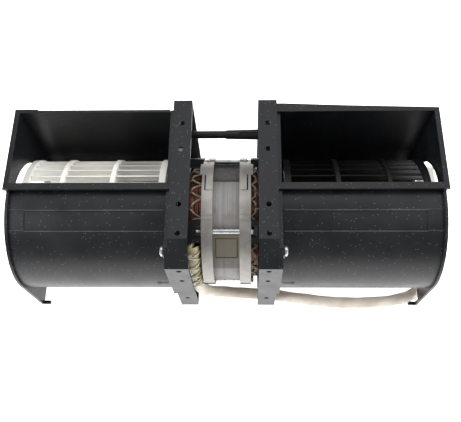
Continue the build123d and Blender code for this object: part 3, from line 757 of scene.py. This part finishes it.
def add_coil_wrap(outer):
    """Yellowed film folded over the lead on the front of the left coil head, with its zigzag stitches."""
    start, end = -104.0, LEAD_TOP
    thick = 0.35 * MM
    columns = 64
    rings = []
    for column in range(columns + 1):
        angle = start + (end - start) * column / columns
        ripple = 0.2 * MM * math.sin(0.9 * column) + 0.12 * MM * math.sin(2.3 * column + 1.0)
        outline = film_outline(outer, ripple)
        inside = [(x - 0.5 * thick, radius - thick) for x, radius in reversed(outline)]
        rings.append([about_shaft(x, radius, angle) for x, radius in outline + inside])
    skin = Skin()
    skin.rings(rings, caps=True)
    skin.piece("coil_film", "insulation_film", ("coil_wrap",), 50.0, outwards=True)
    cord = 1.4 * MM
    half = 5.4               # degrees from a stitch's foot to its top
    outline = film_outline(outer, 0.0)
    path = []
    angle = start + 2.0
    while angle < end - 2 * half:
        for step, corner in enumerate((0, 1, 2, 3, 4, 3, 2, 1)):
            x, radius = outline[corner]
            path.append(about_shaft(x, radius + 0.45 * cord, angle + 0.25 * step * half))
        angle += 2 * half
    stitches = Skin()
    stitches.tube(path, cord / 2, 8, flatten=0.8)
    stitches.piece("coil_film_stitches", "lacing_cord", (), 60.0)


def add_lead_root(line, outer):
    """The lead's root: film that tapers from the sleeve's end down on to the coil."""
    top = line[0]
    outward = (line[0] - line[3]).normalized()
    root = [top - outward * 1.0 * MM, top + outward * 2.0 * MM,
            about_shaft(top.x + 1.5 * MM, outer + 4.2 * MM, LEAD_TOP),
            about_shaft(top.x + 4.0 * MM, outer + 1.8 * MM, LEAD_TOP + 5.5)]
    skin = Skin()
    path = smooth_line(root)
    taper = [1.0 - 0.45 * index / (len(path) - 1) for index in range(len(path))]
    skin.tube(path, 3.9 * MM, 20, swell=lambda index, side: taper[index])
    skin.piece("lead_root", "insulation_film", ("coil_wrap",), 60.0, outwards=True)


# ---------- fasteners ----------
BOLT_R = 1.95 * MM
BOLT_CIRCLE = 49.3 * MM
BOLT_ANGLES = (-31, 59, 149, 239)
THREAD_PITCH = 0.7 * MM
THREAD_LENGTH = 13.0 * MM
THREAD_STEP = THREAD_PITCH / 7


def add_bolts():
    """Four long bolts: hexagon heads with a washer face on the right, rolled threads on the left."""
    low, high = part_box("through_bolts")
    skin = Skin()
    thread_end = low.x + THREAD_LENGTH

    def thread(x, turn):
        if x > thread_end:
            return 0.0
        wave = ((x - low.x) / THREAD_PITCH - turn / (FULL_TURN)) % 1.0
        return -0.34 * MM * abs(2 * wave - 1)

    steps = int(THREAD_LENGTH / THREAD_STEP)
    threaded = [(low.x + 0.4 * MM + index * THREAD_STEP, BOLT_R) for index in range(steps)]
    plain = [(thread_end + 0.6 * MM, BOLT_R), (high.x - 2.0 * MM, BOLT_R)]
    shank = [(low.x, BOLT_R - 0.5 * MM)] + threaded + plain
    head_r = 3.3 * MM
    head = [(high.x - 2.2 * MM, head_r * 0.93), (high.x - 1.9 * MM, head_r), (high.x - 0.5 * MM, head_r),
            (high.x, head_r * 0.82)]
    for angle in BOLT_ANGLES:
        middle = about_shaft(0, BOLT_CIRCLE, angle)
        skin.turned(shank, 24, middle.y, middle.z, twist=thread)
        skin.turned(head, 6, middle.y, middle.z)
    skin.piece("bolts", "zinc_steel", ("through_bolts",), 35.0, outwards=True)


def add_housing_screws(name, sign):
    """Pan-head screws with a cross recess and a coarse plastic thread."""
    node = name + "_housing_screws"
    low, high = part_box(node)
    outer = high.x if sign > 0 else low.x
    tip = low.x if sign > 0 else high.x
    head_r, head_t = 4.0 * MM, 2.6 * MM
    pitch = 1.2 * MM
    spots = [(low.y + head_r, high.z - head_r), (high.y - head_r, low.z + head_r)]
    seat = outer - sign * head_t
    skin = Skin()
    sides = 64
    for y, z in spots:
        rings = []
        for step in range(25):
            radius = head_r * (1 - step / 24)
            ring = []
            for side in range(sides):
                turn = FULL_TURN * side / sides
                across, along = radius * math.cos(turn), radius * math.sin(turn)
                dome = head_t * (1 - 0.45 * (radius / head_r) ** 4)
                in_cross = min(abs(across), abs(along)) < 0.5 * MM and radius < 2.3 * MM
                rise = dome - (1.1 * MM if in_cross else 0.0)
                ring.append(Vector((seat + sign * min(rise, head_t), y + across, z + along)))
            rings.append(ring)
        rim = [Vector((seat, point.y, point.z)) for point in rings[0]]
        skin.rings([rim] + rings, caps=True)
        body = [(seat + sign * 0.1 * MM, 1.9 * MM)]
        for thread in range(int(abs(seat - tip) / pitch)):
            start = seat - sign * thread * pitch
            body += [(start - sign * 0.5 * MM, 1.45 * MM), (start - sign * 0.9 * MM, 1.9 * MM)]
        body.append((tip, 0.8 * MM))
        skin.turned(body, 20, y, z)
    skin.piece(name + "_pan_screws", "zinc_steel", (node,), 30.0, outwards=True)


# ---------- marks ----------
SCROLL_R = 55.0 * MM     # the scroll's round front
GATE_ANGLE = -85.0
BRACKET_R = 52.9 * MM    # the end brackets' rim


def add_gate_mark(name, sign):
    """Thin raised rib on the front of the scroll, ending in a small ring: where the moulding was filled."""
    near, far, ring_at = 45.4 * MM, 51.0 * MM, 52.6 * MM
    ring_r, rib_r = 1.7 * MM, 0.45 * MM
    centre_r = SCROLL_R - 0.15 * MM
    skin = Skin()
    skin.tube([about_shaft(sign * x, centre_r, GATE_ANGLE) for x in (near, far)], rib_r, 12)
    ring = []
    for step in range(32):
        turn = FULL_TURN * step / 32
        aside = math.degrees(ring_r * math.sin(turn) / SCROLL_R)
        ring.append(about_shaft(sign * (ring_at + ring_r * math.cos(turn)), centre_r, GATE_ANGLE + aside))
    skin.tube(ring, rib_r, 10, closed=True)
    skin.piece(name + "_gate_mark", "black_plastic", outwards=True)


def add_scroll_ridges(name, sign):
    """Raised edges of the shallow band along the scroll, running on as fine witness lines to the end wall."""
    skin = Skin()
    for angle, radius in ((-13.4, 0.55 * MM), (-29.8, 0.4 * MM)):
        ridge = [about_shaft(sign * x * MM, SCROLL_R + 0.1 * MM, angle) for x in (45.0, 98.0, 151.0)]
        skin.tube(ridge, radius, 12)
        fine = [about_shaft(sign * x * MM, SCROLL_R, angle + 0.6) for x in (151.0, 156.0, 162.6)]
        skin.tube(fine, 0.28 * MM, 10)
    # The ridges take the lighter black, a painted highlight along them.
    skin.piece(name + "_scroll_ridges", "black_plastic", material=looks["worn_black_plastic"], outwards=True)


def add_bracket_ribs(name, sign):
    """Two low ribs pressed across a bracket, one on each side of its front step."""
    low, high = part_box(name + "_end_bracket")
    near = min(low.x, high.x, key=abs)
    middle, half = near + sign * 4.4 * MM, 4.1 * MM
    skin = Skin()
    for angle in (-16.6, -20.4):
        rib = [about_shaft(middle + side * half, BRACKET_R, angle) for side in (-1, 0, 1)]
        skin.tube(rib, 0.45 * MM, 10)
    skin.piece(name + "_bracket_ribs", "bracket_steel", outwards=True)


def add_stamped_frame():
    """Plain rectangle pressed into the lacquer on the stack's front upper flat."""
    flat_angle, flat_r = -49.0, 44.7 * MM
    left, right, low, high = -7.0 * MM, 9.4 * MM, -9.1 * MM, 7.6 * MM
    turn = math.radians(flat_angle)
    upward = Vector((0, math.cos(turn), -math.sin(turn)))
    centre = about_shaft(0, flat_r + 0.05 * MM, flat_angle)
    corners = [centre + Vector((x, 0, 0)) + upward * rise for x, rise in
               ((left, low), (right, low), (right, high), (left, high))]
    skin = Skin()
    for start, end in zip(corners, corners[1:] + corners[:1]):
        skin.tube([start, start.lerp(end, 0.5), end], 0.28 * MM, 8)
    skin.piece("stack_stamped_frame", "washer_fibre", outwards=True)


# ---------- CAD nodes ----------
BEVELS = {"black_plastic": 0.35 * MM, "bracket_steel": 0.25 * MM, "lamination_steel": 0.12 * MM,
          "connector_nylon": 0.3 * MM, "cast_aluminium": 0.3 * MM}
WELD_WITHIN = 0.002 * MM


def dress_nodes():
    """Each CAD node that shows gets its slot's material, and sharp mouldings get rounded edges."""
    for name, node in frame["nodes"].items():
        slot = slot_of[name]
        if slot not in looks:
            continue
        node.data.materials.clear()
        node.data.materials.append(looks[slot])
        if slot in BEVELS:
            node.modifiers.new("weld", "WELD").merge_threshold = WELD_WITHIN
            bevel = node.modifiers.new("soft_edges", "BEVEL")
            bevel.width = BEVELS[slot]
            bevel.segments = 2
            bevel.limit_method = "ANGLE"
            bevel.angle_limit = math.radians(40)
            node.modifiers.new("even_normals", "WEIGHTED_NORMAL")


# ---------- stage ----------
def add_floor():
    """Table top under the object, far wider than the view."""
    size = 4.0
    mesh = bpy.data.meshes.new("floor")
    corners = [(-size, -size, 0), (size, -size, 0), (size, size, 0), (-size, size, 0)]
    mesh.from_pydata(corners, [], [(0, 1, 2, 3)])
    mesh.materials.append(floor_paint())
    floor = bpy.data.objects.new("floor", mesh)
    scene.collection.objects.link(floor)


def add_soft_light(name, at, size, energy):
    """Square softbox that faces the object's middle, with its size in metres and energy in watts."""
    data = bpy.data.lights.new(name, "AREA")
    data.size = size
    data.energy = energy
    light = bpy.data.objects.new(name, data)
    scene.collection.objects.link(light)
    light.location = at
    light.rotation_euler = (Vector((0, 0, 0.05)) - Vector(at)).to_track_quat("-Z", "Y").to_euler()


def add_light():
    """Dim even light all round, a white backdrop that only the camera sees, and three softboxes."""
    white = (1, 1, 1, 1)
    world = bpy.data.worlds.new("studio")
    world.use_nodes = True
    tree = world.node_tree
    surroundings = tree.nodes["Background"]
    surroundings.inputs["Color"].default_value = white
    surroundings.inputs["Strength"].default_value = 0.40
    backdrop = tree.nodes.new("ShaderNodeBackground")
    backdrop.inputs["Color"].default_value = white
    seen = tree.nodes.new("ShaderNodeLightPath")
    either = tree.nodes.new("ShaderNodeMixShader")
    tree.links.new(seen.outputs["Is Camera Ray"], either.inputs[0])
    tree.links.new(surroundings.outputs[0], either.inputs[1])
    tree.links.new(backdrop.outputs[0], either.inputs[2])
    tree.links.new(either.outputs[0], tree.nodes["World Output"].inputs["Surface"])
    scene.world = world
    add_soft_light("softbox_left", (-1.35, -0.25, 0.95), 1.2, 33)
    add_soft_light("softbox_right", (1.35, 0.05, 0.95), 1.2, 33)
    add_soft_light("softbox_behind", (0, 0.62, 1.3), 1.0, 4.5)


# ---------- the whole scene ----------
add_camera()
looks = {maker.__name__: maker() for maker in MAKERS}
sleeve, sleeve_line = add_sleeve()
lead_pieces = add_wires(sleeve_line) + add_connector_details() + [frame["nodes"]["lead_connector"]]

dress_nodes()
ends = coil_ends()
radius_of_coil = coil_radius()
for side_name, direction, stack_face, coil_tip in ends:
    lacing_low, lacing_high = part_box(side_name + "_coil_lacing")
    lacing_edge = lacing_high.x if direction < 0 else lacing_low.x
    add_coil_head(side_name, direction, stack_face, coil_tip, radius_of_coil)
    add_lacing(side_name, direction, coil_tip, radius_of_coil, lacing_edge)
    add_housing_screws(side_name, direction)
    add_gate_mark(side_name, direction)
    add_scroll_ridges(side_name, direction)
    add_bracket_ribs(side_name, direction)
add_slot_conductors((ends[0][2], ends[1][2]), radius_of_coil)
add_coil_wrap(radius_of_coil)
add_lead_root(sleeve_line, radius_of_coil)
add_bolts()
add_stamped_frame()
add_floor()
add_light()
